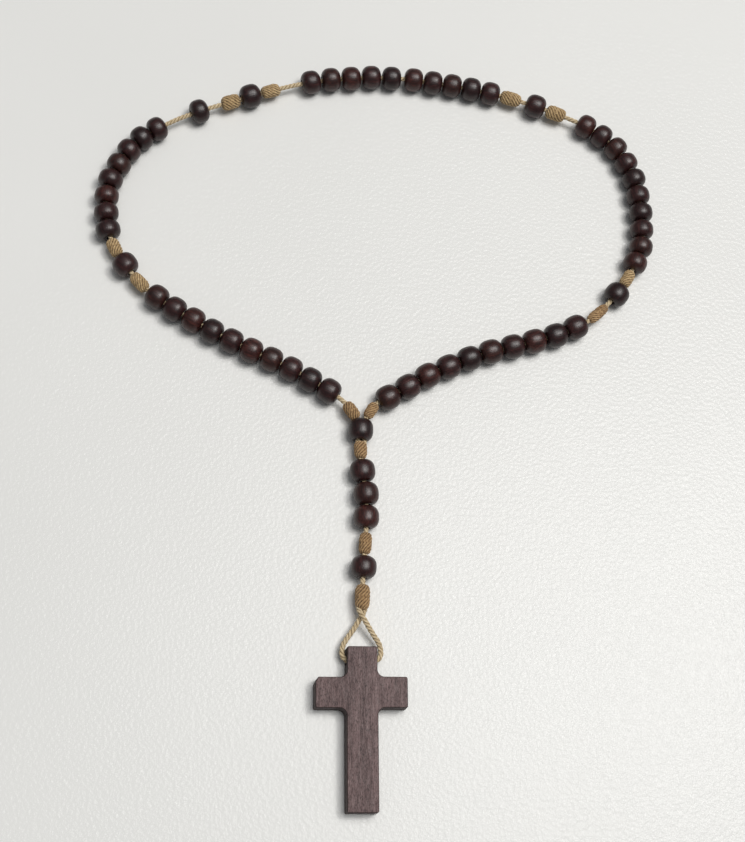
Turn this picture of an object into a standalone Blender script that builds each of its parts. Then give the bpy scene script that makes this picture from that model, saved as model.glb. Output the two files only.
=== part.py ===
"""A wooden rosary laid out on a table: five decades of turned beads on one knotted loop of twine,
a pendant string below the centre bead, and a flat cross that hangs from a bail of the same twine.

Metres, +Z up, standing on the plane z = 0. X is to the right and Y runs from the foot of the cross
up to the top of the loop. The origin is the centre of the footprint. Route points and lengths in the
tables below are in millimetres and are scaled by MM where they are used.
"""

import math

import bmesh
import bpy
import numpy as np
from mathutils import Vector

MM = 0.001

# Beads, turned from dark wood. Their length differs a little from one decade to the next.
BEAD_RADIUS = 4.0
BEAD_BORE_RADIUS = 1.4
CENTRE_BORE_RADIUS = 2.4    # the centre bead takes two strands side by side
BEAD_CURVE = 2.5            # exponent of the barrel's outline, 2 is an ellipse
BEAD_SIDES = 10
LARGE_BEAD_LENGTH = 6.9     # the beads that stand alone between two knots
PAIR_NECK_RADIUS = 2.2      # two touching beads that share a node meet in a neck
BEAD_CREASE = 50            # degrees; flatter edges than this are shaded smooth

# Laid twine and the barrel knots tied in it.
CORD_RADIUS = 0.9
CORD_HEIGHT = 4.0           # the twine runs through the middle of beads that lie on the table
CORD_STEPS = 68
CORD_END = 15.0             # the last stretch at either end bends more and has closer points
CORD_END_STEPS = 7
UPPER_CORD_STEPS = 7
LOWER_CORD_STEPS = 6
BAIL_STEPS = 34
KNOT_CURVE = 3.0
KNOT_SIDES = 8

# The loop, anticlockwise seen from below, from the centre bead up its left side and round.
LOOP_ROUTE = [
    (-7.6, -13.6), (-7.6, -8.0), (-7.55, -4.7), (-9.4, -2.0), (-11.6, 0.9), (-16.8, 4.9), (-29.0, 12.0),
    (-42.1, 18.0), (-66.7, 31.3), (-78.1, 40.3), (-86.8, 52.7), (-89.4, 61.5), (-90.0, 70.5),
    (-87.2, 81.5), (-80.4, 91.8), (-70.7, 99.2), (-60.9, 104.2), (-50.0, 108.6), (-23.2, 117.9),
    (4.9, 121.3), (32.9, 118.4), (46.6, 115.6), (61.9, 110.7), (73.0, 105.8), (82.9, 97.5),
    (88.6, 86.0), (89.8, 73.6), (89.2, 61.0), (83.8, 48.8), (73.0, 35.6), (64.9, 29.9),
    (51.0, 24.6), (35.9, 20.1), (21.4, 14.4), (4.0, 4.4), (-1.7, 1.0), (-3.7, -1.9),
    (-5.55, -5.2), (-5.6, -8.0), (-5.6, -13.6),
]

# Runs of small beads: decade, distance of the first bead along the loop, count, pitch, bead length.
RUNS = [
    (1, 22.4, 10, 7.03, 6.7),
    (2, 114.7, 8, 6.22, 5.9),
    (2, 174.0, 1, 0.0, 5.9),
    (3, 214.1, 5, 7.05, 6.4),
    (3, 250.0, 5, 6.78, 6.4),
    (4, 312.4, 10, 6.52, 6.2),
    (5, 404.4, 10, 7.61, 7.3),
]
# Node limit: these two neighbours in a tight run share one node, (decade, number of the first one).
PAIRS = [(1, 5), (5, 5)]

FATHER_BEADS = [101.0, 192.5, 293.5, 385.0]     # distances of the four lone beads along the loop
LOOP_KNOTS = [                                  # distance, length and radius of each knot
    (12.9, 6.0, 2.05), (93.3, 7.0, 2.2), (108.0, 6.3, 2.2), (185.3, 6.6, 2.5), (199.7, 6.6, 2.25),
    (284.5, 7.4, 2.4), (301.0, 7.0, 2.5), (377.9, 6.2, 2.1), (395.1, 8.4, 1.85), (-13.0, 5.3, 1.85),
]

# The pendant string, straight down from the centre bead.
PENDANT_ROUTE = [
    (-6.5, -3.0), (-6.6, -8.0), (-6.8, -14.5), (-6.3, -21.4), (-5.3, -28.9), (-5.2, -36.5),
    (-5.5, -44.9), (-6.2, -52.2), (-6.5, -61.7), (-6.7, -69.0),
]
CENTRE_BEAD_Y = -8.0
TRIO_Y = (-21.5, -28.95, -36.45)
LOWER_BEAD_Y = -52.3
CENTRE_KNOT = (-17.45, -11.75, 2.15)    # lower end, upper end, radius
MIDDLE_KNOT = (-48.3, -41.4, 2.1)
BAIL_KNOT = (-65.6, -57.6, 2.4)
UPPER_SWING_Y = -17.75              # the two places where the pendant string bends most
LOWER_SWING_Y = -40.75
SWING_ROOM = 0.45                   # the twine stops this far from a swing's axis on either side

# The cross and the bail of twine that carries it.
CROSS_X = -6.8
CROSS_TOP, CROSS_FOOT = -76.9, -125.1
LEFT_ARM = (-20.4, -86.1, -95.2)    # end, upper and lower edge; cut by hand, a little unequal
RIGHT_ARM = (6.7, -85.9, -95.0)
HEAD_HALF_WIDTH = 4.5
FOOT_HALF_WIDTH = 4.65
CROSS_THICKNESS = 6.0
CROSS_FILLET = 2.2
CROSS_CORNER = 0.5
CROSS_CHIP = (1.0, 1.7)             # worn corner at the upper left: across and down
CROSS_EDGE = 0.4
HOLE_Y = -81.0
HOLE_RADIUS = 1.4
DRILL_LENGTH = 14.0
BAIL_ROUTE = [
    (-7.75, -63.6, 4.0), (-7.7, -65.0, 4.05), (-7.4, -66.4, 4.75), (-6.6, -67.7, 4.95), (-5.8, -69.0, 4.7),
    (-4.6, -70.9, 4.2), (-3.1, -73.2, 3.6), (-1.5, -75.6, 3.2), (-0.95, -77.8, 3.0), (-1.1, -79.7, 3.0),
    (-2.7, -80.9, 3.0), (-4.7, -81.0, 3.0), (-6.8, -81.0, 3.0), (-8.9, -81.0, 3.0), (-10.9, -80.9, 3.0),
    (-12.5, -79.7, 3.0), (-12.7, -77.8, 3.0), (-12.1, -75.6, 3.0), (-10.5, -73.2, 3.0), (-9.0, -71.1, 3.05),
    (-7.8, -69.1, 3.2), (-6.95, -67.7, 3.05), (-6.1, -66.4, 3.25), (-5.75, -65.0, 3.9), (-5.8, -63.6, 4.0),
]


def clear_scene():
    for thing in list(bpy.data.objects):
        bpy.data.objects.remove(thing, do_unlink=True)


def new_collection(name):
    collection = bpy.data.collections.new(name)
    bpy.context.scene.collection.children.link(collection)
    return collection


def wood(name, colour, roughness):
    material = bpy.data.materials.new(name)
    material.use_nodes = True
    shader = material.node_tree.nodes["Principled BSDF"]
    shader.inputs["Base Color"].default_value = (*colour, 1.0)
    shader.inputs["Roughness"].default_value = roughness
    shader.inputs["Metallic"].default_value = 0.0
    return material


def place(name, mesh, material, collection, parent=None):
    thing = bpy.data.objects.new(name, mesh)
    collection.objects.link(thing)
    if not mesh.materials:
        mesh.materials.append(material)
    thing.parent = parent
    return thing


def smooth_curve(points, per_span=24):
    """A dense smooth line through the points of a route, in millimetres, with its height."""
    route = np.array([(*p, CORD_HEIGHT) if len(p) == 2 else p for p in points], float)
    steps = np.sqrt(np.linalg.norm(np.diff(route, axis=0), axis=1))
    knots = np.concatenate(([0.0], np.cumsum(steps)))
    slopes = np.gradient(route, knots, axis=0)
    line = []
    for i, span in enumerate(steps):
        for u in np.arange(per_span) / per_span:
            start = (2 * u**3 - 3 * u**2 + 1) * route[i] + (u**3 - 2 * u**2 + u) * span * slopes[i]
            end = (3 * u**2 - 2 * u**3) * route[i + 1] + (u**3 - u**2) * span * slopes[i + 1]
            line.append(start + end)
    line.append(route[-1])
    return np.array(line)


class Route:
    """A smooth line that is read by the distance along it."""

    def __init__(self, points):
        self.line = smooth_curve(points)
        spans = np.linalg.norm(np.diff(self.line, axis=0), axis=1)
        self.distances = np.concatenate(([0.0], np.cumsum(spans)))
        self.length = self.distances[-1]

    def at(self, distance):
        if distance < 0:
            distance += self.length
        return Vector([np.interp(distance, self.distances, self.line[:, k]) for k in range(3)])

    def direction(self, distance, reach=1.5):
        if distance < 0:
            distance += self.length
        return (self.at(distance + reach) - self.at(max(distance - reach, 0.0))).normalized()

    def distance_at_y(self, y):
        """Distance at which a route that runs down the Y axis reaches y."""
        return float(np.interp(-y, -self.line[:, 1], self.distances))


def turned_mesh(name, profile, sides, closed):
    """Turns a profile of (radius, height) points about Z. A closed profile leaves a bore.

    The profile starts half a side round, so that a ten-sided bead touches the table with an edge.
    """
    mesh = bpy.data.meshes.new(name + "_profile")
    x, y = math.cos(math.pi / sides) * MM, math.sin(math.pi / sides) * MM
    points = [(r * x, r * y, z * MM) for r, z in profile]
    edges = [(i, i + 1) for i in range(len(points) - 1)]
    if closed:
        edges.append((len(points) - 1, 0))
    mesh.from_pydata(points, edges, [])
    guide = bpy.data.objects.new(name, mesh)
    bpy.context.scene.collection.objects.link(guide)
    screw = guide.modifiers.new("turn", "SCREW")
    screw.steps = sides
    screw.render_steps = sides
    screw.use_merge_vertices = True
    screw.merge_threshold = 0.00001
    result = evaluated_copy(guide)
    result.name = name
    return result


def evaluated_copy(thing, flat=False):
    """The mesh of an object with its modifiers applied, welded; the object itself is removed.

    With flat, the triangles of each flat side are merged into one face.
    """
    bpy.context.view_layer.update()
    graph = bpy.context.evaluated_depsgraph_get()
    mesh = bpy.data.meshes.new_from_object(thing.evaluated_get(graph))
    work = bmesh.new()
    work.from_mesh(mesh)
    bmesh.ops.remove_doubles(work, verts=work.verts, dist=0.000001)
    if flat:
        bmesh.ops.dissolve_limit(work, angle_limit=math.radians(1), verts=work.verts, edges=work.edges)
    bmesh.ops.recalc_face_normals(work, faces=work.faces)
    work.to_mesh(mesh)
    work.free()
    mesh.transform(thing.matrix_world)
    bpy.data.objects.remove(thing, do_unlink=True)
    return mesh


def bead_outline(length, bore=BEAD_BORE_RADIUS):
    """Upper half of a barrel's outline from the bore's edge to the widest point."""
    edge = (1 - (bore / BEAD_RADIUS) ** BEAD_CURVE) ** (1 / BEAD_CURVE)
    full = length / 2 / edge
    half = [(bore, length / 2)]
    for share in (0.48, 0.82):
        radius = bore + (BEAD_RADIUS - bore) * share
        height = full * (1 - (radius / BEAD_RADIUS) ** BEAD_CURVE) ** (1 / BEAD_CURVE)
        half.append((radius, height))
    half.append((BEAD_RADIUS, full * 0.2))
    return half


def bead_mesh(name, length, bore=BEAD_BORE_RADIUS):
    upper = bead_outline(length, bore)
    outer = upper + [(r, -z) for r, z in reversed(upper)]
    mesh = turned_mesh(name, outer, BEAD_SIDES, closed=True)
    mesh.shade_smooth()
    mesh.set_sharp_from_angle(angle=math.radians(BEAD_CREASE))
    return mesh


def pair_mesh(name, length, pitch):
    """Two touching beads as one turned piece with a short neck between them."""
    upper = bead_outline(length)
    barrel = upper + [(r, -z) for r, z in reversed(upper)]
    first = [(r, z + pitch / 2) for r, z in barrel[:-1]]
    second = [(r, z - pitch / 2) for r, z in barrel[1:]]
    neck = (pitch - length) / 2 + length * 0.03
    outer = first + [(PAIR_NECK_RADIUS, neck), (PAIR_NECK_RADIUS, -neck)] + second
    mesh = turned_mesh(name, outer, BEAD_SIDES, closed=True)
    mesh.shade_smooth()
    mesh.set_sharp_from_angle(angle=math.radians(BEAD_CREASE))
    return mesh


def knot_mesh(name, length, radius):
    """A barrel knot: a turned body with blunt rounded ends, closed on its axis."""
    angles = np.linspace(0, math.pi, 8)
    profile = []
    for angle in angles:
        out = radius * abs(math.sin(angle)) ** (2 / KNOT_CURVE)
        height = length / 2 * math.copysign(abs(math.cos(angle)) ** (2 / KNOT_CURVE), math.cos(angle))
        profile.append((0.0 if out < 0.01 else out, height))
    return turned_mesh(name, profile, KNOT_SIDES, closed=False)


def tube_mesh(name, line):
    """A round tube with filled ends along a line of points in millimetres."""
    curve = bpy.data.curves.new(name, "CURVE")
    curve.dimensions = "3D"
    curve.bevel_depth = CORD_RADIUS * MM
    curve.bevel_resolution = 2
    curve.use_fill_caps = True
    spline = curve.splines.new("POLY")
    spline.points.add(len(line) - 1)
    for point, place_at in zip(spline.points, line):
        point.co = (*(Vector(place_at) * MM), 1.0)
    guide = bpy.data.objects.new(name, curve)
    bpy.context.scene.collection.objects.link(guide)
    return evaluated_copy(guide)


def stretch(route, start, end, steps):
    """Evenly spaced points of a route between two distances."""
    return [route.at(d) for d in np.linspace(start, end, steps)]


def aim(thing, at, direction):
    thing.location = Vector(at) * MM
    thing.rotation_euler = direction.to_track_quat("Z", "Y").to_euler()


def joined(name, meshes, material, collection):
    """One closed body made of overlapping meshes by Boolean union."""
    body = place(name, meshes[0], material, collection)
    for number, mesh in enumerate(meshes[1:]):
        cutter = place(f"{name}_tool_{number}", mesh, material, collection)
        union = body.modifiers.new("join", "BOOLEAN")
        union.operation = "UNION"
        union.solver = "EXACT"
        union.object = cutter
        bpy.context.view_layer.update()
        graph = bpy.context.evaluated_depsgraph_get()
        result = bpy.data.meshes.new_from_object(body.evaluated_get(graph))
        body.modifiers.clear()
        body.data = result
        bpy.data.objects.remove(cutter, do_unlink=True)
    return body


def knot_at(route, distance, length, radius, name):
    mesh = knot_mesh(name, length, radius)
    turn = route.direction(distance).to_track_quat("Z", "Y").to_matrix().to_4x4()
    turn.translation = route.at(distance) * MM
    mesh.transform(turn)
    return mesh


def pendant_knot(route, size, name):
    lower, upper, radius = size
    return knot_at(route, route.distance_at_y((lower + upper) / 2), upper - lower, radius, name)


def add_loop_cord(loop, pendant, material, collection):
    """The loop's twine with its knots. Both ends run through the centre bead into the knot below."""
    far_end = loop.length - CORD_END
    line = stretch(loop, 0.0, CORD_END, CORD_END_STEPS)
    line += stretch(loop, CORD_END, far_end, CORD_STEPS)[1:]
    line += stretch(loop, far_end, loop.length, CORD_END_STEPS)[1:]
    meshes = [tube_mesh("loop", line)]
    meshes += [knot_at(loop, *size, f"knot_{i}") for i, size in enumerate(LOOP_KNOTS)]
    meshes.append(pendant_knot(pendant, CENTRE_KNOT, "centre_knot"))
    joined("loop_cord", meshes, material, collection)


def add_pendant_cords(pendant, material, collection):
    start = pendant.distance_at_y(UPPER_SWING_Y - SWING_ROOM)
    end = pendant.distance_at_y(LOWER_SWING_Y + SWING_ROOM)
    upper = tube_mesh("upper", stretch(pendant, start, end, UPPER_CORD_STEPS))
    place("pendant_cord_upper", upper, material, collection)

    start = pendant.distance_at_y(MIDDLE_KNOT[1] - MIDDLE_KNOT[2] / 2)
    end = pendant.distance_at_y(BAIL_KNOT[1] - BAIL_KNOT[2] / 2)
    bail = Route(BAIL_ROUTE)
    meshes = [
        tube_mesh("lower", stretch(pendant, start, end, LOWER_CORD_STEPS)),
        pendant_knot(pendant, MIDDLE_KNOT, "middle_knot"),
        pendant_knot(pendant, BAIL_KNOT, "bail_knot"),
        tube_mesh("bail", stretch(bail, 0.0, bail.length, BAIL_STEPS)),
    ]
    joined("pendant_cord_lower", meshes, material, collection)


def cross_outline():
    """The outline of the cross, anticlockwise from the foot's left corner, as arcs and corners."""
    left_end, left_top, left_bottom = LEFT_ARM
    right_end, right_top, right_bottom = RIGHT_ARM
    chip_x, chip_y = CROSS_CHIP
    foot, head = FOOT_HALF_WIDTH, HEAD_HALF_WIDTH
    corners = [
        (CROSS_X - foot, CROSS_FOOT, CROSS_CORNER), (CROSS_X + foot, CROSS_FOOT, CROSS_CORNER),
        (CROSS_X + foot, right_bottom, CROSS_FILLET), (right_end, right_bottom, CROSS_CORNER),
        (right_end, right_top, CROSS_CORNER), (CROSS_X + head, right_top, CROSS_FILLET),
        (CROSS_X + head, CROSS_TOP, CROSS_CORNER), (CROSS_X - head, CROSS_TOP, CROSS_CORNER),
        (CROSS_X - head, left_top, CROSS_FILLET), (left_end + chip_x, left_top, CROSS_CORNER),
        (left_end, left_top - chip_y, CROSS_CORNER), (left_end, left_bottom, CROSS_CORNER),
        (CROSS_X - foot, left_bottom, CROSS_FILLET),
    ]
    outline = []
    for i, (x, y, radius) in enumerate(corners):
        here = Vector((x, y))
        before = (Vector(corners[i - 1][:2]) - here).normalized()
        after = (Vector(corners[(i + 1) % len(corners)][:2]) - here).normalized()
        half_angle = before.angle(after) / 2
        reach = radius / math.tan(half_angle)
        middle = here + (before + after).normalized() * (radius / math.sin(half_angle))
        first = here + before * reach - middle
        sweep = first.angle_signed(here + after * reach - middle)
        steps = 5 if radius == CROSS_FILLET else 2
        for k in range(steps + 1):
            turn = -sweep * k / steps
            spoke = Vector((first.x * math.cos(turn) - first.y * math.sin(turn),
                            first.x * math.sin(turn) + first.y * math.cos(turn)))
            outline.append(middle + spoke)
    return outline


def add_cross(material, collection, tools):
    outline = cross_outline()
    curve = bpy.data.curves.new("cross_outline", "CURVE")
    curve.dimensions = "2D"
    curve.fill_mode = "BOTH"
    curve.extrude = CROSS_THICKNESS / 2 * MM
    spline = curve.splines.new("POLY")
    spline.points.add(len(outline) - 1)
    for point, corner in zip(spline.points, outline):
        point.co = (corner.x * MM, (corner.y - HOLE_Y) * MM, 0.0, 1.0)
    spline.use_cyclic_u = True
    guide = bpy.data.objects.new("cross_outline", curve)
    bpy.context.scene.collection.objects.link(guide)
    cross = place("cross", evaluated_copy(guide, flat=True), material, collection)
    cross.location = (0.0, HOLE_Y * MM, CROSS_THICKNESS / 2 * MM)

    bpy.ops.mesh.primitive_cylinder_add(vertices=16, radius=HOLE_RADIUS * MM, depth=DRILL_LENGTH * MM)
    drill = bpy.context.object
    drill.name = "cross_drill"
    drill.rotation_euler = (0.0, math.radians(90), 0.0)
    drill.location = (CROSS_X * MM, HOLE_Y * MM, CROSS_THICKNESS / 2 * MM)
    for owner in drill.users_collection:
        owner.objects.unlink(drill)
    tools.objects.link(drill)
    drill.hide_render = True
    drill.display_type = "WIRE"

    edge = cross.modifiers.new("worn_edges", "BEVEL")
    edge.width = CROSS_EDGE * MM
    edge.segments = 1
    edge.limit_method = "ANGLE"
    edge.angle_limit = math.radians(60)
    bore = cross.modifiers.new("bail_hole", "BOOLEAN")
    bore.operation = "DIFFERENCE"
    bore.solver = "EXACT"
    bore.object = drill


def add_run(run, number, loop, material, collection):
    """The beads of one run, which share a mesh. Returns the next bead's number in its decade."""
    decade, start, count, pitch, length = run
    mesh = bead_mesh(f"bead_{decade}_{number}", length)
    i = 0
    while i < count:
        name = f"bead_decade_{decade}_{number + i:02d}"
        if (decade, number + i) in PAIRS:
            middle = start + (i + 0.5) * pitch
            pair = pair_mesh(f"pair_{decade}", length, pitch)
            thing = place(f"{name}_and_{number + i + 1:02d}", pair, material, collection)
            aim(thing, loop.at(middle), loop.direction(middle))
            i += 2
            continue
        thing = place(name, mesh, material, collection)
        aim(thing, loop.at(start + i * pitch), loop.direction(start + i * pitch))
        i += 1
    return number + count


def add_loop_beads(loop, material, collection):
    numbers = {}
    for run in RUNS:
        decade = run[0]
        numbers[decade] = add_run(run, numbers.get(decade, 1), loop, material, collection)
    mesh = bead_mesh("large_bead", LARGE_BEAD_LENGTH)
    for number, distance in enumerate(FATHER_BEADS, start=1):
        thing = place(f"bead_father_{number}", mesh, material, collection)
        aim(thing, loop.at(distance), loop.direction(distance))


def add_pendant_beads(pendant, material, collection):
    mesh = bead_mesh("pendant_bead", LARGE_BEAD_LENGTH)
    places = {"bead_centre": CENTRE_BEAD_Y, "bead_lower": LOWER_BEAD_Y}
    for number, y in enumerate(TRIO_Y, start=1):
        places[f"bead_trio_{number}"] = y
    wide = bead_mesh("centre_bead", LARGE_BEAD_LENGTH, CENTRE_BORE_RADIUS)
    for name, y in places.items():
        distance = pendant.distance_at_y(y)
        shape = wide if name == "bead_centre" else mesh
        thing = place(name, shape, material, collection)
        aim(thing, pendant.at(distance), pendant.direction(distance))


def main():
    clear_scene()
    rosary = new_collection("rosary")
    tools = new_collection("tools")
    dark_wood = wood("bead_wood", (0.045, 0.022, 0.022), 0.35)
    cross_wood = wood("cross_wood", (0.13, 0.09, 0.09), 0.6)
    twine = wood("twine", (0.55, 0.42, 0.24), 0.85)
    loop = Route(LOOP_ROUTE)
    pendant = Route(PENDANT_ROUTE)
    add_loop_cord(loop, pendant, twine, rosary)
    add_pendant_cords(pendant, twine, rosary)
    add_loop_beads(loop, dark_wood, rosary)
    add_pendant_beads(pendant, dark_wood, rosary)
    add_cross(cross_wood, rosary, tools)


main()
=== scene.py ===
"""A wooden rosary on a pale table: barrel beads, laid twine with barrel knots, and a flat cross."""
import math

import bmesh
import bpy
import numpy as np
from mathutils import Matrix, Vector


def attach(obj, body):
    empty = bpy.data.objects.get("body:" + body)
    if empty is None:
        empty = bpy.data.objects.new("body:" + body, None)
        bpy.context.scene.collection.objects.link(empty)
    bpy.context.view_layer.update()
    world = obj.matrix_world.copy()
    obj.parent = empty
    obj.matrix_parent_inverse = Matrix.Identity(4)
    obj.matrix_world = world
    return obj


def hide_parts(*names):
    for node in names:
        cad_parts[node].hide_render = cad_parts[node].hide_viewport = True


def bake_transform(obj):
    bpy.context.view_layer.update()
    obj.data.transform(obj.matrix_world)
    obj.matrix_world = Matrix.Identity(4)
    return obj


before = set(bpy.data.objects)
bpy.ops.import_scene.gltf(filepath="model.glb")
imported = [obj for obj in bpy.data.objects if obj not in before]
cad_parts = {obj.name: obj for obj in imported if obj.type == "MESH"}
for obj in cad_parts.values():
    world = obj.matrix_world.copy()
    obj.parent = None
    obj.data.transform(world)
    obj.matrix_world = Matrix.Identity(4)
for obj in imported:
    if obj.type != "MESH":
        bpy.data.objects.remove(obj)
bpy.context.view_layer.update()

MM = 0.001
RNG = np.random.default_rng(7)

# The routes and tables below are those of the CAD part, in millimetres. Only the two knots above the
# centre bead, the left arm and its chip differ from it, by less than half a millimetre.
CORD_HEIGHT = 4.0
LOOP_ROUTE = [
    (-7.6, -13.6), (-7.6, -8.0), (-7.55, -4.7), (-9.4, -2.0), (-11.6, 0.9), (-16.8, 4.9), (-29.0, 12.0),
    (-42.1, 18.0), (-66.7, 31.3), (-78.1, 40.3), (-86.8, 52.7), (-89.4, 61.5), (-90.0, 70.5),
    (-87.2, 81.5), (-80.4, 91.8), (-70.7, 99.2), (-60.9, 104.2), (-50.0, 108.6), (-23.2, 117.9),
    (4.9, 121.3), (32.9, 118.4), (46.6, 115.6), (61.9, 110.7), (73.0, 105.8), (82.9, 97.5),
    (88.6, 86.0), (89.8, 73.6), (89.2, 61.0), (83.8, 48.8), (73.0, 35.6), (64.9, 29.9),
    (51.0, 24.6), (35.9, 20.1), (21.4, 14.4), (4.0, 4.4), (-1.7, 1.0), (-3.7, -1.9),
    (-5.55, -5.2), (-5.6, -8.0), (-5.6, -13.6),
]
# Decade, distance of the first bead along the loop, number of beads, pitch, length of a bead.
RUNS = [
    (1, 22.4, 10, 7.03, 6.7),
    (2, 114.7, 8, 6.22, 5.9),
    (2, 174.0, 1, 0.0, 5.9),
    (3, 214.1, 5, 7.05, 6.4),
    (3, 250.0, 5, 6.78, 6.4),
    (4, 312.4, 10, 6.52, 6.2),
    (5, 404.4, 10, 7.61, 7.3),
]
PAIRS = [(1, 5), (5, 5)]    # decade and first bead of two that share a CAD node
LARGE_BEAD_LENGTH = 6.9
FATHER_BEADS = [101.0, 192.5, 293.5, 385.0]
# Distance of the middle along the loop, or back from its end, then length and radius.
LOOP_KNOTS = [
    (12.7, 6.4, 2.05), (93.3, 7.0, 2.2), (108.0, 6.3, 2.2), (185.3, 6.6, 2.5), (199.7, 6.6, 2.25),
    (284.5, 7.4, 2.4), (301.0, 7.0, 2.5), (377.9, 6.2, 2.1), (395.1, 8.4, 1.85), (-12.85, 5.7, 1.85),
]
PENDANT_ROUTE = [
    (-6.5, -3.0), (-6.6, -8.0), (-6.8, -14.5), (-6.3, -21.4), (-5.3, -28.9), (-5.2, -36.5),
    (-5.5, -44.9), (-6.2, -52.2), (-6.5, -61.7), (-6.7, -69.0),
]
CENTRE_BEAD_Y = -8.0
TRIO_Y = (-21.5, -28.95, -36.45)
LOWER_BEAD_Y = -52.3
# Lower end, upper end and radius.
CENTRE_KNOT = (-17.45, -11.75, 2.15)
MIDDLE_KNOT = (-48.3, -41.4, 2.1)
BAIL_KNOT = (-65.6, -57.6, 2.4)
UPPER_SWING_Y = -17.75
BAIL_ROUTE = [
    (-7.75, -63.6, 4.0), (-7.7, -65.0, 4.05), (-7.4, -66.4, 4.75), (-6.6, -67.7, 4.95), (-5.8, -69.0, 4.7),
    (-4.6, -70.9, 4.2), (-3.1, -73.2, 3.6), (-1.5, -75.6, 3.2), (-0.95, -77.8, 3.0), (-1.1, -79.7, 3.0),
    (-2.7, -80.9, 3.0), (-4.7, -81.0, 3.0), (-6.8, -81.0, 3.0), (-8.9, -81.0, 3.0), (-10.9, -80.9, 3.0),
    (-12.5, -79.7, 3.0), (-12.7, -77.8, 3.0), (-12.1, -75.6, 3.0), (-10.5, -73.2, 3.0), (-9.0, -71.1, 3.05),
    (-7.8, -69.1, 3.2), (-6.95, -67.7, 3.05), (-6.1, -66.4, 3.25), (-5.75, -65.0, 3.9), (-5.8, -63.6, 4.0),
]
CROSS_X = -6.8
CROSS_TOP, CROSS_FOOT = -76.9, -125.1
# End, top edge and bottom edge of each arm.
LEFT_ARM = (-20.75, -86.1, -95.2)
RIGHT_ARM = (6.7, -85.9, -95.0)
HEAD_HALF_WIDTH, FOOT_HALF_WIDTH = 4.5, 4.65
CROSS_THICKNESS, CROSS_FILLET, CROSS_CORNER = 6.0, 2.2, 0.5
CROSS_CHIP = (0.8, 1.6)
CROSS_FLARE = 0.35          # how far the left edges lean outward towards the back
CROSS_EDGE = 0.3            # wear on the edges
HOLE_Y, HOLE_RADIUS = -81.0, 1.4
DRILL_LENGTH = 14.0

# What only shows: the twine is a little thinner where it is stretched bare, and beads have fine bores.
TWINE = 1.6
BAIL_TWINE = 1.7
STRANDS = 3
STRAND_RADIUS = 0.26        # of a strand, and how far its centre is from the twine's, in twine diameters
STRAND_OFFSET = 0.24
STRAND_SIDES = 10
LAY = 4.3                   # length in which a strand of the twine goes once round
TWINE_STEP = 0.27           # between the rings of a strand
BAIL_STEP = 0.3
BAIL_SMOOTHING = 12
TRIO_TWINE_ENDS = (-12.1, -42.4)    # y of the ends, inside the centre knot and the middle knot
BAIL_TWINE_ENDS = (-44.5, -61.5)    # y of the straight stretch before the bail
KNOT_RINGS, KNOT_SIDES = 76, 132
KNOT_CURVE = 3.2
KNOT_RIBS = 11              # strands that cross a ring round a knot
KNOT_RIB_RISE = 1.2         # distance between two of them along the knot
KNOT_RIB_DEPTH = 0.36
KNOT_WRAP = 1.5             # rise of one wrap of the twine
KNOT_WRAP_DEPTH = 0.14
CLEAN_KNOTS = (2, 3, 4, 5, 6, 7, 8)  # the others are browner
BEAD_RADIUS = 4.0
BEAD_BORE = 1.15
CENTRE_BORE = 1.9
BEAD_CURVE = 2.6
BEAD_STEPS, BEAD_SIDES = 25, 44
BEAD_LIP = 0.3              # width of the flat ring round the bore
BEAD_GROWTH = 1.02          # length that shows, against the length in CAD
TRIO_LENGTH = 7.1
BEAD_LEAN = 1.0             # degrees by which a bead may sit out of line
BEAD_SHIFT = 0.2            # and how far it may sit to one side of the twine
SLIDING = ("bead_decade_1_01", "bead_decade_2_09", "bead_decade_3_01", "bead_decade_4_01")
SLIDING_PLAY = 0.15         # a sliding bead has this much more bore and sits on the twine's centre

# Table, lights and camera are in metres and watts: name, place, width, power, colour.
TABLE_SIZE = 6.0
WARM_WHITE, COOL_WHITE = (1.0, 0.985, 0.965), (0.96, 0.98, 1.0)
LIGHTS = [
    ("ceiling_panel", (0.62, 0.22, 2.0), 1.4, 31.5, WARM_WHITE),
    ("ceiling_lamp", (0.80, 0.26, 1.8), 0.3, 6.5, WARM_WHITE),
    ("ceiling_bounce", (0.0, 0.2, 2.4), 2.6, 7.0, COOL_WHITE),
]
ROOM_COLOUR, ROOM_STRENGTH = (0.95, 0.97, 1.0, 1.0), 0.17
CAMERA_PLACE = (-0.0520, -0.1563, 0.4320)
CAMERA_AIM = (-0.0025, -0.0034, 0.0)
CAMERA_LENS, CAMERA_SENSOR = 69.63, 36.0
CAMERA_ROLL = -0.5


# ---------------------------------------------------------------- routes

def smooth_curve(points, per_span=24):
    """Cubic spans through the points; a point with no height lies at the height of the twine."""
    route = np.array([(*p, CORD_HEIGHT) if len(p) == 2 else p for p in points], float)
    steps = np.sqrt(np.linalg.norm(np.diff(route, axis=0), axis=1))
    knots = np.concatenate(([0.0], np.cumsum(steps)))
    slopes = np.gradient(route, knots, axis=0)
    line = []
    for i, span in enumerate(steps):
        for u in np.arange(per_span) / per_span:
            start = (2 * u**3 - 3 * u**2 + 1) * route[i] + (u**3 - 2 * u**2 + u) * span * slopes[i]
            end = (3 * u**2 - 2 * u**3) * route[i + 1] + (u**3 - u**2) * span * slopes[i + 1]
            line.append(start + end)
    line.append(route[-1])
    return np.array(line)


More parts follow.
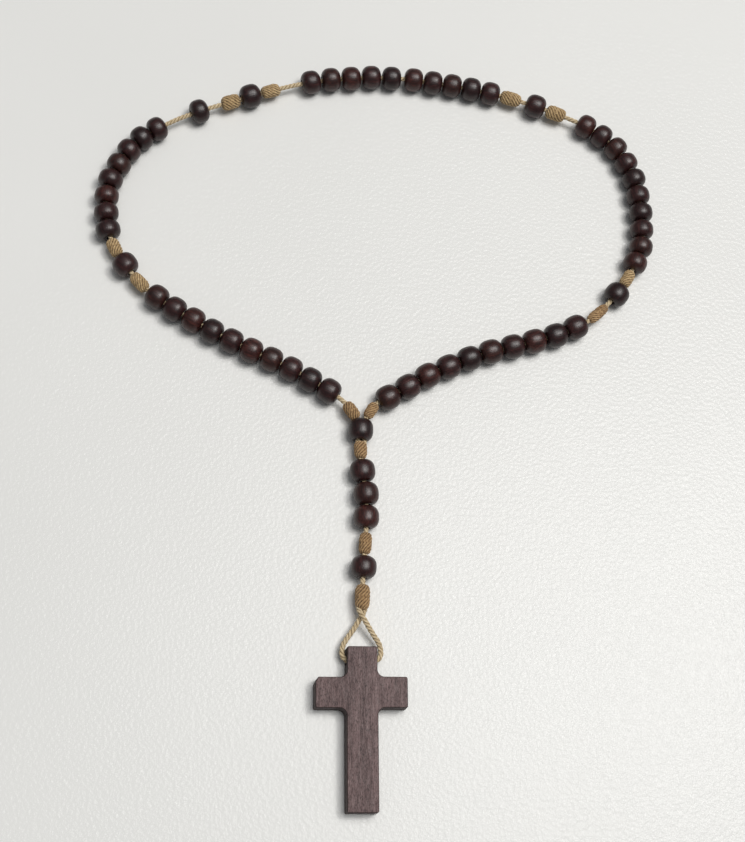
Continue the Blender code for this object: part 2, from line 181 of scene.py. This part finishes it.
class Route:
    """A line measured along its length; a negative distance counts back from the end."""

    def __init__(self, line):
        self.line = line
        spans = np.linalg.norm(np.diff(line, axis=0), axis=1)
        self.distances = np.concatenate(([0.0], np.cumsum(spans)))
        self.length = float(self.distances[-1])

    def at(self, distance):
        if distance < 0:
            distance += self.length
        return np.array([np.interp(distance, self.distances, self.line[:, k]) for k in range(3)])

    def direction(self, distance, reach=1.5):
        if distance < 0:
            distance += self.length
        step = self.at(distance + reach) - self.at(max(distance - reach, 0.0))
        return step / np.linalg.norm(step)

    def distance_at_y(self, y):
        return float(np.interp(-y, -self.line[:, 1], self.distances))

    def points(self, start, end, step):
        count = max(2, int(round((end - start) / step)) + 1)
        return np.array([self.at(d) for d in np.linspace(start, end, count)])


# ---------------------------------------------------------------- meshes

def mesh_object(name, vertices, faces, material):
    """A smooth shaded mesh, whose vertices come in millimetres."""
    mesh = bpy.data.meshes.new(name)
    mesh.from_pydata((np.asarray(vertices) * MM).tolist(), [], faces)
    mesh.validate()
    mesh.shade_smooth()
    mesh.materials.append(material)
    thing = bpy.data.objects.new(name, mesh)
    bpy.context.scene.collection.objects.link(thing)
    return thing


def set_vectors(thing, name, values):
    attribute = thing.data.attributes.new(name, "FLOAT_VECTOR", "POINT")
    attribute.data.foreach_set("vector", np.asarray(values, np.float32).ravel())


def set_values(thing, name, values):
    attribute = thing.data.attributes.new(name, "FLOAT", "POINT")
    attribute.data.foreach_set("value", np.asarray(values, np.float32).ravel())


def grid_faces(rows, columns, first=0, closed_rows=False):
    """Quads between rings of points; every ring is closed on itself."""
    faces = []
    for i in range(rows if closed_rows else rows - 1):
        a, b = first + i * columns, first + ((i + 1) % rows) * columns
        for j in range(columns):
            k = (j + 1) % columns
            faces.append((a + j, a + k, b + k, b + j))
    return faces


def frames(line):
    """Unit tangents and one steady normal along a line, carried without twist."""
    tangents = np.gradient(line, axis=0)
    tangents /= np.linalg.norm(tangents, axis=1)[:, None]
    normal = np.cross(tangents[0], (0.0, 0.0, 1.0))
    if np.linalg.norm(normal) < 0.1:
        normal = np.cross(tangents[0], (1.0, 0.0, 0.0))
    normal /= np.linalg.norm(normal)
    normals = []
    for tangent in tangents:
        normal = normal - tangent * (normal @ tangent)
        normal /= np.linalg.norm(normal)
        normals.append(normal)
    normals = np.array(normals)
    return tangents, normals, np.cross(tangents, normals)


def laid_twine(line, diameter, phase):
    """Three strands laid round each other along a line, as (vertices, faces, fibre coordinates, crests).

    The crest of a vertex is 0 in the groove between two strands and 1 on the outside of a strand.
    """
    spans = np.linalg.norm(np.diff(line, axis=0), axis=1)
    along = np.concatenate(([0.0], np.cumsum(spans)))
    _, normals, binormals = frames(line)
    sides = STRAND_SIDES
    strand = diameter * STRAND_RADIUS
    ring = np.linspace(0, 2 * math.pi, sides, endpoint=False)
    vertices, faces, fibres, crests = [], [], [], []
    for number in range(STRANDS):
        angle = phase + 2 * math.pi * number / STRANDS - 2 * math.pi * along / LAY
        outward = np.cos(angle)[:, None] * normals + np.sin(angle)[:, None] * binormals
        centre = line + outward * diameter * STRAND_OFFSET
        tangent = np.gradient(centre, axis=0)
        tangent /= np.linalg.norm(tangent, axis=1)[:, None]
        outward -= tangent * np.sum(outward * tangent, axis=1)[:, None]
        outward /= np.linalg.norm(outward, axis=1)[:, None]
        side = np.cross(tangent, outward)
        first = number * len(line) * sides
        spokes = (np.cos(ring)[None, :, None] * outward[:, None, :]
                  + np.sin(ring)[None, :, None] * side[:, None, :])
        points = centre[:, None, :] + spokes * strand
        vertices.append(points.reshape(-1, 3))
        out = np.linalg.norm(points - line[:, None, :], axis=2) / (diameter * 0.5)
        # These crests later put painted shade into the grooves and painted light onto the strand tops.
        crests.append(np.clip((out - 0.62) / 0.36, 0, 1).ravel())
        faces += grid_faces(len(line), sides, first)
        faces.append(tuple(first + j for j in reversed(range(sides))))
        last = first + (len(line) - 1) * sides
        faces.append(tuple(last + j for j in range(sides)))
        around, run = np.meshgrid(ring * strand, along)
        fibre = np.stack([around + number * 7.3, run, np.full_like(run, number)], axis=-1)
        fibres.append(fibre.reshape(-1, 3))
    return np.concatenate(vertices), faces, np.concatenate(fibres), np.concatenate(crests)


def twine_object(name, line, diameter, phase):
    vertices, faces, fibres, crests = laid_twine(line, diameter, phase)
    thing = mesh_object(name, vertices, faces, BARE_TWINE)
    set_vectors(thing, "fibre", fibres)
    set_values(thing, "crest", crests)
    return thing


def turn_to(direction):
    """Columns x, y, z of a frame whose z lies along a direction."""
    z = np.asarray(direction, float) / np.linalg.norm(direction)
    x = np.cross((0.0, 0.0, 1.0), z)
    x /= np.linalg.norm(x)
    return np.stack([x, np.cross(z, x), z], axis=1)


def knot_object(name, centre, direction, length, radius, material, turn):
    """A barrel knot: close wraps of the twine, whose strands show as slanting ribs on a rounded barrel."""
    rings, sides = KNOT_RINGS, KNOT_SIDES
    angles = np.linspace(0.02, math.pi - 0.02, rings)
    out = radius * np.sin(angles) ** (2 / KNOT_CURVE)
    height = length / 2 * np.sign(np.cos(angles)) * np.abs(np.cos(angles)) ** (2 / KNOT_CURVE)
    around, up = np.meshgrid(np.linspace(0, 2 * math.pi, sides, endpoint=False), height)
    girth = out[:, None] * np.ones(sides)
    # The ribs wander a little, and the wraps rise by one step on each turn.
    wander = 0.35 * np.sin(around * 2 + turn) + 0.3 * np.sin(up * 1.3 + turn * 2)
    rib = np.abs(np.cos((KNOT_RIBS * around - 2 * math.pi * up / KNOT_RIB_RISE + wander + turn) / 2)) ** 0.85
    wrap = np.abs(np.cos((2 * math.pi * up / KNOT_WRAP + around + turn * 3) / 2)) ** 0.5
    near_end = np.clip(girth / radius, 0, 1)
    sunk = (KNOT_RIB_DEPTH * (1 - rib) + KNOT_WRAP_DEPTH * (1 - wrap)) * near_end
    lump = 1 + 0.02 * np.sin(around * 2 + turn * 5 + up * 0.8)
    spoke = (girth - sunk) * lump
    height = up + np.cos(around + turn) * spoke * 0.07
    local = np.stack([np.cos(around) * spoke, np.sin(around) * spoke, height], axis=-1)
    vertices = local.reshape(-1, 3) @ turn_to(direction).T + np.asarray(centre)
    faces = [face[::-1] for face in grid_faces(rings, sides)]
    faces.append(tuple(range(sides)))
    faces.append(tuple((rings - 1) * sides + j for j in reversed(range(sides))))
    thing = mesh_object(name, vertices, faces, material)
    across = KNOT_RIBS * around / (2 * math.pi) - up / KNOT_RIB_RISE
    run = up + around * radius
    fibre = np.stack([across * 0.8, run * 0.7, np.full_like(run, turn)], axis=-1)
    set_vectors(thing, "fibre", fibre.reshape(-1, 3))
    # This crest mask gives the knot painted shade between its ribs and painted light on them.
    set_values(thing, "crest", np.clip(rib * 0.95 + wrap * 0.3 - 0.25, 0, 1).ravel())
    return thing


def bead_profile(length, bore):
    """The closed outline of a barrel bead, from the top of the bore outside and back up the bore."""
    edge = (1 - ((bore + BEAD_LIP + 0.05) / BEAD_RADIUS) ** BEAD_CURVE) ** (1 / BEAD_CURVE)
    full = length / 2 / edge
    outer = []
    for angle in np.linspace(0, math.pi, BEAD_STEPS):
        radius = BEAD_RADIUS * math.sin(angle) ** (2 / BEAD_CURVE)
        height = full * math.copysign(abs(math.cos(angle)) ** (2 / BEAD_CURVE), math.cos(angle))
        if radius > bore + BEAD_LIP:
            outer.append((radius, height))
    lip = outer[0][1]
    outer.insert(0, (bore + 0.1, lip - 0.03))
    outer.append((bore + 0.1, -lip + 0.03))
    inner = [(bore, -lip + 0.22), (bore, -lip / 3), (bore, lip / 3), (bore, lip - 0.22)]
    return outer + inner


def bead_object(name, centre, direction, length, material, bore, shift):
    """One turned bead, a little out of true, with the coordinates of its own piece of wood."""
    girth = 1 + RNG.uniform(-0.012, 0.008)
    length *= BEAD_GROWTH + RNG.uniform(-0.01, 0.01)
    profile = np.array(bead_profile(length, bore))
    ring = np.linspace(0, 2 * math.pi, BEAD_SIDES, endpoint=False)
    oval, oval_at = RNG.uniform(0, 0.006), RNG.uniform(0, math.pi)
    radii = profile[:, :1] * girth * (1 + oval * np.cos(2 * (ring - oval_at)))[None, :]
    heights = np.repeat(profile[:, 1:], BEAD_SIDES, axis=1)
    local = np.stack([radii * np.cos(ring), radii * np.sin(ring), heights], axis=-1).reshape(-1, 3)
    lean_x, lean_y = np.radians(RNG.uniform(-BEAD_LEAN, BEAD_LEAN, 2))
    tilt = Matrix.Rotation(lean_y, 3, "Y") @ Matrix.Rotation(lean_x, 3, "X")
    basis = turn_to(direction)
    sideways = basis @ (RNG.uniform(-shift, shift), 0.0, 0.0)
    vertices = local @ (basis @ np.array(tilt)).T + np.asarray(centre) + sideways
    vertices[:, 2] = np.maximum(vertices[:, 2], 0.0)
    faces = grid_faces(len(profile), BEAD_SIDES, closed_rows=True)
    thing = mesh_object(name, vertices, faces, material)
    spin = RNG.uniform(0, 2 * math.pi)
    c, s = math.cos(spin), math.sin(spin)
    grain = local @ np.array([(c, -s, 0), (s, c, 0), (0, 0, 1)]) + RNG.uniform(-200, 200, 3)
    set_vectors(thing, "grain", grain)
    return thing


# ---------------------------------------------------------------- materials

class Nodes:
    """Shorthand for building a node material round a Principled shader."""

    def __init__(self, name, roughness, **inputs):
        self.material = bpy.data.materials.new(name)
        self.material.use_nodes = True
        self.tree = self.material.node_tree
        self.shader = self.tree.nodes["Principled BSDF"]
        self.shader.inputs["Roughness"].default_value = roughness
        for key, value in inputs.items():
            self.shader.inputs[key.replace("_", " ")].default_value = value

    def add(self, kind, values=None, **settings):
        node = self.tree.nodes.new(kind)
        for key, value in settings.items():
            setattr(node, key, value)
        for key, value in (values or {}).items():
            node.inputs[key].default_value = value
        return node

    def link(self, out, into):
        self.tree.links.new(out, into)

    def attribute(self, name):
        return self.add("ShaderNodeAttribute", attribute_name=name).outputs["Vector"]

    def value(self, name):
        return self.add("ShaderNodeAttribute", attribute_name=name).outputs["Fac"]

    def scaled(self, vector, scale):
        node = self.add("ShaderNodeMapping", {"Scale": scale})
        self.link(vector, node.inputs["Vector"])
        return node.outputs["Vector"]

    def noise(self, vector, scale, detail=4.0, roughness=0.55, distortion=0.0):
        node = self.add("ShaderNodeTexNoise", {
            "Scale": scale, "Detail": detail, "Roughness": roughness, "Distortion": distortion})
        self.link(vector, node.inputs["Vector"])
        return node.outputs["Fac"]

    def ramp(self, factor, stops):
        node = self.add("ShaderNodeValToRGB")
        elements = node.color_ramp.elements
        while len(elements) < len(stops):
            elements.new(0.5)
        for element, (position, colour) in zip(elements, stops):
            element.position = position
            element.color = (*colour, 1.0)
        self.link(factor, node.inputs["Fac"])
        return node.outputs["Color"]

    def mix(self, factor, a, b, blend="MIX"):
        node = self.add("ShaderNodeMix", data_type="RGBA", blend_type=blend)
        for socket, value in ((node.inputs[0], factor), (node.inputs[6], a), (node.inputs[7], b)):
            if isinstance(value, bpy.types.NodeSocket):
                self.link(value, socket)
            else:
                socket.default_value = value if not isinstance(value, tuple) else (*value, 1.0)
        return node.outputs[2]

    def span(self, value, low, high, to_low, to_high):
        node = self.add("ShaderNodeMapRange", {1: low, 2: high, 3: to_low, 4: to_high})
        self.link(value, node.inputs[0])
        return node.outputs[0]

    def bump(self, height, distance, strength):
        node = self.add("ShaderNodeBump", {"Strength": strength, "Distance": distance})
        self.link(height, node.inputs["Height"])
        return node.outputs["Normal"]

    def finish(self, colour, roughness=None, normal=None):
        for value, name in ((colour, "Base Color"), (roughness, "Roughness"), (normal, "Normal")):
            if value is not None:
                self.link(value, self.shader.inputs[name])
        return self.material


def grey(value):
    return (value, value, value)


def bead_wood(name, dark, mid, light):
    """Stained hardwood: fibres along the bore, open pores, and a rubbed sheen that varies a little."""
    n = Nodes(name, 0.34, Specular_IOR_Level=0.48)
    grain = n.attribute("grain")
    long_grain = n.noise(n.scaled(grain, (1.0, 1.0, 0.22)), 1.3, 5.0, 0.62, 0.5)
    fine = n.noise(n.scaled(grain, (1.0, 1.0, 0.13)), 4.6, 3.0, 0.6)
    cloud = n.noise(grain, 0.16, 2.0)
    colour = n.ramp(long_grain, [(0.3, dark), (0.52, mid), (0.75, light)])
    pores = n.ramp(fine, [(0.36, grey(0.3)), (0.5, grey(1.0)), (0.66, grey(1.5))])
    colour = n.mix(0.85, colour, pores, "MULTIPLY")
    colour = n.mix(n.span(cloud, 0.35, 0.65, 0.0, 0.35), colour, dark)
    roughness = n.span(long_grain, 0.3, 0.75, 0.39, 0.30)
    normal = n.bump(fine, 0.00008, 0.6)
    return n.finish(colour, roughness, normal)


def cross_wood():
    """Dark unpolished board: faint streaks and many short dark flecks along the stem, and painted shade on
    the side walls.
    """
    n = Nodes("cross_wood", 0.62, Specular_IOR_Level=0.3)
    grain = n.attribute("grain")
    wide = n.noise(n.scaled(grain, (1.0, 0.08, 1.0)), 0.5, 3.0, 0.55, 0.4)
    streaks = n.noise(n.scaled(grain, (1.0, 0.12, 1.0)), 2.2, 4.0, 0.6, 0.25)
    flecks = n.noise(n.scaled(grain, (1.0, 0.36, 1.0)), 3.9, 3.0, 0.65)
    dark, mid, light = (0.076, 0.048, 0.047), (0.127, 0.084, 0.082), (0.172, 0.124, 0.120)
    colour = n.ramp(streaks, [(0.3, dark), (0.5, mid), (0.72, light)])
    broad = n.ramp(wide, [(0.32, grey(0.78)), (0.66, grey(1.24))])
    colour = n.mix(1.0, colour, broad, "MULTIPLY")
    dark_flecks = n.ramp(flecks, [(0.35, grey(0.35)), (0.49, grey(1.0)), (0.66, grey(1.35))])
    colour = n.mix(0.85, colour, dark_flecks, "MULTIPLY")
    # Painted shade: the side walls are darkened to about a third of the top's colour.
    colour = n.mix(n.value("shaded_wall"), colour, n.mix(1.0, colour, (0.32, 0.27, 0.27), "MULTIPLY"))
    normal = n.bump(n.mix(0.5, streaks, flecks), 0.00018, 0.6)
    return n.finish(colour, n.span(streaks, 0.3, 0.7, 0.68, 0.56), normal)


def twine(name, dark, mid, light, groove):
    """Dry plant fibre: fine yarns that run along each strand, painted shade in the grooves and painted light
    on the strand crests, no gloss.
    """
    n = Nodes(name, 0.8, Specular_IOR_Level=0.25, Sheen_Weight=0.12, Sheen_Roughness=0.6)
    fibre = n.attribute("fibre")
    yarns = n.noise(n.scaled(fibre, (7.0, 0.9, 1.0)), 1.6, 4.0, 0.6, 0.3)
    patches = n.noise(n.scaled(fibre, (0.5, 0.25, 1.0)), 0.9, 2.0)
    colour = n.ramp(yarns, [(0.3, dark), (0.5, mid), (0.72, light)])
    tint = n.ramp(patches, [(0.35, (0.84, 0.8, 0.74)), (0.65, (1.06, 1.05, 1.03))])
    colour = n.mix(1.0, colour, tint, "MULTIPLY")
    # Painted shade and light: the crest mask darkens the grooves between strands and lightens the strand
    # tops.
    shade = n.ramp(n.value("crest"), [(0.0, groove), (0.5, (0.78, 0.74, 0.69)), (0.9, (1.16, 1.16, 1.15))])
    colour = n.mix(1.0, colour, shade, "MULTIPLY")
    normal = n.bump(yarns, 0.00009, 0.7)
    return n.finish(colour, None, normal)


def table_top():
    """Pale laminate under a clear skin that is finely uneven and softly glossy."""
    n = Nodes("table_top", 0.9, Specular_IOR_Level=0.0, Coat_Weight=0.42, Coat_Roughness=0.25)
    place = n.add("ShaderNodeTexCoord").outputs["Object"]
    ripple = n.noise(place, 850.0, 2.0, 0.5)
    cloud = n.noise(place, 6.0, 2.0)
    colour = n.ramp(cloud, [(0.3, (0.735, 0.735, 0.715)), (0.7, (0.765, 0.765, 0.745))])
    n.link(n.bump(ripple, 0.0005, 0.5), n.shader.inputs["Coat Normal"])
    specks = n.add("ShaderNodeTexVoronoi", {"Scale": 21.0})
    n.link(place, specks.inputs["Vector"])
    marks = n.ramp(specks.outputs["Distance"], [(0.008, grey(0.62)), (0.016, grey(1.0))])
    return n.finish(n.mix(1.0, colour, marks, "MULTIPLY"))


# ---------------------------------------------------------------- pieces

# Each wood and twine is dark, mid and light; a twine ends with the colour of the painted shade in its
# grooves.
WOODS = [bead_wood(name, *tones) for name, *tones in (
    ("bead_wood_plum", (0.0105, 0.003192, 0.00352), (0.0315, 0.009408, 0.00912), (0.07, 0.0231, 0.0212)),
    ("bead_wood_red", (0.015, 0.003696, 0.0032), (0.044, 0.01109, 0.00896), (0.092, 0.02772, 0.0216)),
    ("bead_wood_dark", (0.0075, 0.002772, 0.00304), (0.0215, 0.007392, 0.00752), (0.048, 0.0168, 0.016)),
    ("bead_wood_brown", (0.0125, 0.004032, 0.00336), (0.036, 0.01109, 0.0088), (0.077, 0.0252, 0.0192)),
)]
TONE_ORDER = [0, 2, 0, 3, 1, 0, 2, 1, 0, 3, 2, 0, 1, 0, 3, 0, 2]
BARE_TWINE, KNOT_TWINE, CLEAN_TWINE = [twine(name, *tones) for name, *tones in (
    ("twine_bare", (0.26, 0.185, 0.11), (0.52, 0.42, 0.27), (0.80, 0.70, 0.51), (0.14, 0.10, 0.07)),
    ("twine_knot", (0.13, 0.075, 0.033), (0.33, 0.205, 0.1), (0.70, 0.51, 0.29), (0.05, 0.031, 0.018)),
    ("twine_clean", (0.165, 0.105, 0.050), (0.41, 0.285, 0.146), (0.80, 0.64, 0.39), (0.06, 0.04, 0.024)),
)]
CROSS_WOOD = cross_wood()


def add_beads(loop, pendant):
    made = 0

    def one(name, body, node, route, at, length, bore=BEAD_BORE):
        nonlocal made
        wood = WOODS[TONE_ORDER[made % len(TONE_ORDER)]]
        made += 1
        shift = BEAD_SHIFT
        if node in SLIDING:
            bore, shift = bore + SLIDING_PLAY, 0.0
        thing = bead_object(f"wood_{name}", route.at(at), route.direction(at), length, wood, bore, shift)
        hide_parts(node)
        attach(thing, body)

    numbers = {}
    for decade, start, count, pitch, length in RUNS:
        first = numbers.get(decade, 1)
        for i in range(count):
            number = first + i
            name = f"bead_decade_{decade}_{number:02d}"
            node = name
            if (decade, number) in PAIRS:
                node = f"{name}_and_{number + 1:02d}"
            elif (decade, number - 1) in PAIRS:
                node = f"bead_decade_{decade}_{number - 1:02d}_and_{number:02d}"
            one(name, node, node, loop, start + i * pitch, length)
        numbers[decade] = first + count
    for number, at in enumerate(FATHER_BEADS, start=1):
        node = f"bead_father_{number}"
        one(node, node, node, loop, at, LARGE_BEAD_LENGTH)
    for number, y in enumerate(TRIO_Y, start=1):
        node = f"bead_trio_{number}"
        one(node, node, node, pendant, pendant.distance_at_y(y), TRIO_LENGTH)
    at = pendant.distance_at_y(LOWER_BEAD_Y)
    one("bead_lower", "bead_lower", "bead_lower", pendant, at, LARGE_BEAD_LENGTH)
    at = pendant.distance_at_y(CENTRE_BEAD_Y)
    one("bead_centre", "loop", "bead_centre", pendant, at, LARGE_BEAD_LENGTH, CENTRE_BORE)


def stretch(pendant, ends, step):
    """The part of the pendant between two heights."""
    upper, lower = ends
    return pendant.points(pendant.distance_at_y(upper), pendant.distance_at_y(lower), step)


def pendant_knot(name, pendant, size, turn):
    lower, upper, radius = size
    at = pendant.distance_at_y((lower + upper) / 2)
    return knot_object(name, pendant.at(at), pendant.direction(at), upper - lower, radius, KNOT_TWINE, turn)


def add_cords(loop, pendant):
    # The loop, with both of its ends in the knot below the centre bead.
    line = loop.points(0.0, loop.length, TWINE_STEP)
    cord = twine_object("loop_twine", line, TWINE, 0.0)
    knots = []
    for number, (at, length, radius) in enumerate(LOOP_KNOTS, start=1):
        material = CLEAN_TWINE if number in CLEAN_KNOTS else KNOT_TWINE
        knots.append(knot_object(f"loop_knot_{number:02d}", loop.at(at), loop.direction(at), length, radius,
                                 material, number * 1.7))
    knots.append(pendant_knot("centre_knot", pendant, CENTRE_KNOT, 0.6))
    for thing in (cord, *knots):
        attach(thing, "loop")
    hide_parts("loop_cord")

    # From the centre knot through the three beads into the middle knot.
    line = stretch(pendant, TRIO_TWINE_ENDS, TWINE_STEP)
    cord = twine_object("pendant_twine", line, TWINE, 0.9)
    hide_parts("pendant_cord_upper")
    swing = pendant.at(pendant.distance_at_y(UPPER_SWING_Y)) * MM
    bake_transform(cord)

    # From the middle knot through the lowest bead, then the bail through the cross and back.
    bail = Route(smooth_curve(BAIL_ROUTE))
    straight = stretch(pendant, BAIL_TWINE_ENDS, BAIL_STEP)
    rough = Route(np.concatenate([straight, bail.points(0.0, bail.length, BAIL_STEP)]))
    line = rough.points(0.0, rough.length, TWINE_STEP)
    for _ in range(BAIL_SMOOTHING):
        line[1:-1] = (line[:-2] + 2 * line[1:-1] + line[2:]) / 4
    cord = twine_object("bail_twine", line, BAIL_TWINE, 0.4)
    knots = [pendant_knot("middle_knot", pendant, MIDDLE_KNOT, 2.1),
             pendant_knot("bail_knot", pendant, BAIL_KNOT, 4.4)]
    for thing in (cord, *knots):
        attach(thing, "pendant_lower")
    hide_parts("pendant_cord_lower")


def cross_outline():
    """The outline of the cross with every corner rounded to its own radius."""
    left_end, left_top, left_bottom = LEFT_ARM
    right_end, right_top, right_bottom = RIGHT_ARM
    chip_x, chip_y = CROSS_CHIP
    foot, head = FOOT_HALF_WIDTH, HEAD_HALF_WIDTH
    corners = [
        (CROSS_X - foot, CROSS_FOOT, CROSS_CORNER), (CROSS_X + foot, CROSS_FOOT, CROSS_CORNER),
        (CROSS_X + foot, right_bottom, CROSS_FILLET), (right_end, right_bottom, CROSS_CORNER),
        (right_end, right_top, CROSS_CORNER), (CROSS_X + head, right_top, CROSS_FILLET),
        (CROSS_X + head, CROSS_TOP, CROSS_CORNER), (CROSS_X - head, CROSS_TOP, CROSS_CORNER),
        (CROSS_X - head, left_top, CROSS_FILLET), (left_end + chip_x, left_top, CROSS_CORNER),
        (left_end, left_top - chip_y, CROSS_CORNER), (left_end, left_bottom, CROSS_CORNER),
        (CROSS_X - foot, left_bottom, CROSS_FILLET),
    ]
    outline = []
    for i, (x, y, radius) in enumerate(corners):
        here = Vector((x, y))
        before = (Vector(corners[i - 1][:2]) - here).normalized()
        after = (Vector(corners[(i + 1) % len(corners)][:2]) - here).normalized()
        half_angle = before.angle(after) / 2
        reach = radius / math.tan(half_angle)
        middle = here + (before + after).normalized() * (radius / math.sin(half_angle))
        first = here + before * reach - middle
        sweep = first.angle_signed(here + after * reach - middle)
        steps = 10 if radius == CROSS_FILLET else 4
        for k in range(steps + 1):
            turn = -sweep * k / steps
            spoke = Vector((first.x * math.cos(turn) - first.y * math.sin(turn),
                            first.x * math.sin(turn) + first.y * math.cos(turn)))
            outline.append(middle + spoke)
    return outline


def add_cross():
    """The board with rounded worn edges and the hole for the bail."""
    work = bmesh.new()
    bottom = [work.verts.new((p.x * MM, p.y * MM, 0.0)) for p in cross_outline()]
    face = work.faces.new(bottom)
    face.normal_flip()
    raised = bmesh.ops.extrude_face_region(work, geom=[face])
    top = [v for v in raised["geom"] if isinstance(v, bmesh.types.BMVert)]
    bmesh.ops.translate(work, vec=(0, 0, CROSS_THICKNESS * MM), verts=top)
    for vertex in bottom:
        if vertex.co.x < CROSS_X * MM:
            vertex.co.x -= CROSS_FLARE * MM
    bmesh.ops.recalc_face_normals(work, faces=work.faces)
    mesh = bpy.data.meshes.new("cross_board")
    work.to_mesh(mesh)
    work.free()
    mesh.materials.append(CROSS_WOOD)
    cross = bpy.data.objects.new("cross_board", mesh)
    bpy.context.scene.collection.objects.link(cross)
    edge = cross.modifiers.new("edges", "BEVEL")
    edge.width = CROSS_EDGE * MM
    edge.segments = 4
    edge.limit_method = "ANGLE"
    edge.angle_limit = math.radians(60)

    bpy.ops.mesh.primitive_cylinder_add(vertices=32, radius=HOLE_RADIUS * MM, depth=DRILL_LENGTH * MM)
    drill = bpy.context.object
    drill.rotation_euler = (0.0, math.radians(90), 0.0)
    drill.location = (CROSS_X * MM, HOLE_Y * MM, CROSS_THICKNESS / 2 * MM)
    hole = cross.modifiers.new("hole", "BOOLEAN")
    hole.operation = "DIFFERENCE"
    hole.solver = "EXACT"
    hole.object = drill
    bpy.context.view_layer.update()
    graph = bpy.context.evaluated_depsgraph_get()
    result = bpy.data.meshes.new_from_object(cross.evaluated_get(graph))
    cross.modifiers.clear()
    cross.data = result
    bpy.data.objects.remove(drill, do_unlink=True)
    result.shade_smooth()
    result.set_sharp_from_angle(angle=math.radians(32))
    set_vectors(cross, "grain", [tuple(c / MM for c in v.co) for v in result.vertices])
    # The side walls are marked for the painted shade that darkens them.
    shaded_wall_faces = result.attributes.new("shaded_wall", "FLOAT", "FACE")
    shaded_wall_faces.data.foreach_set("value", [1.0 if abs(face.normal.z) < 0.9 else 0.0 for face in result.polygons])
    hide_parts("cross")
    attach(cross, "cross")


# ---------------------------------------------------------------- table, light, camera

def add_table():
    bpy.ops.mesh.primitive_grid_add(x_subdivisions=4, y_subdivisions=4, size=TABLE_SIZE)
    table = bpy.context.object
    table.name = "table"
    table.data.materials.append(table_top())


def add_light(name, location, size, power, colour):
    """A round lamp that faces the middle of the table."""
    data = bpy.data.lights.new(name, "AREA")
    data.shape = "DISK"
    data.size = size
    data.energy = power
    data.color = colour
    light = bpy.data.objects.new(name, data)
    bpy.context.scene.collection.objects.link(light)
    light.location = location
    light.rotation_euler = (-Vector(location)).to_track_quat("-Z", "Y").to_euler()


def add_surroundings():
    add_table()
    for light in LIGHTS:
        add_light(*light)
    world = bpy.data.worlds.new("room")
    bpy.context.scene.world = world
    world.use_nodes = True
    background = world.node_tree.nodes["Background"]
    background.inputs["Color"].default_value = ROOM_COLOUR
    background.inputs["Strength"].default_value = ROOM_STRENGTH
    bpy.context.scene.view_settings.view_transform = "Standard"


def add_camera():
    data = bpy.data.cameras.new("camera")
    camera = bpy.data.objects.new("camera", data)
    bpy.context.scene.collection.objects.link(camera)
    bpy.context.scene.camera = camera
    data.sensor_fit = "HORIZONTAL"
    data.sensor_width = CAMERA_SENSOR
    data.lens = CAMERA_LENS
    data.clip_start, data.clip_end = 0.01, 20.0
    camera.location = CAMERA_PLACE
    back = (camera.location - Vector(CAMERA_AIM)).normalized()
    right = Vector((0.0, 1.0, 0.0)).cross(back).normalized()
    turn = Matrix((right, back.cross(right), back)).transposed()
    camera.rotation_euler = (turn @ Matrix.Rotation(math.radians(CAMERA_ROLL), 3, "Z")).to_euler()


def main():
    loop = Route(smooth_curve(LOOP_ROUTE))
    pendant = Route(smooth_curve(PENDANT_ROUTE))
    add_beads(loop, pendant)
    add_cords(loop, pendant)
    add_cross()
    add_surroundings()
    add_camera()


main()
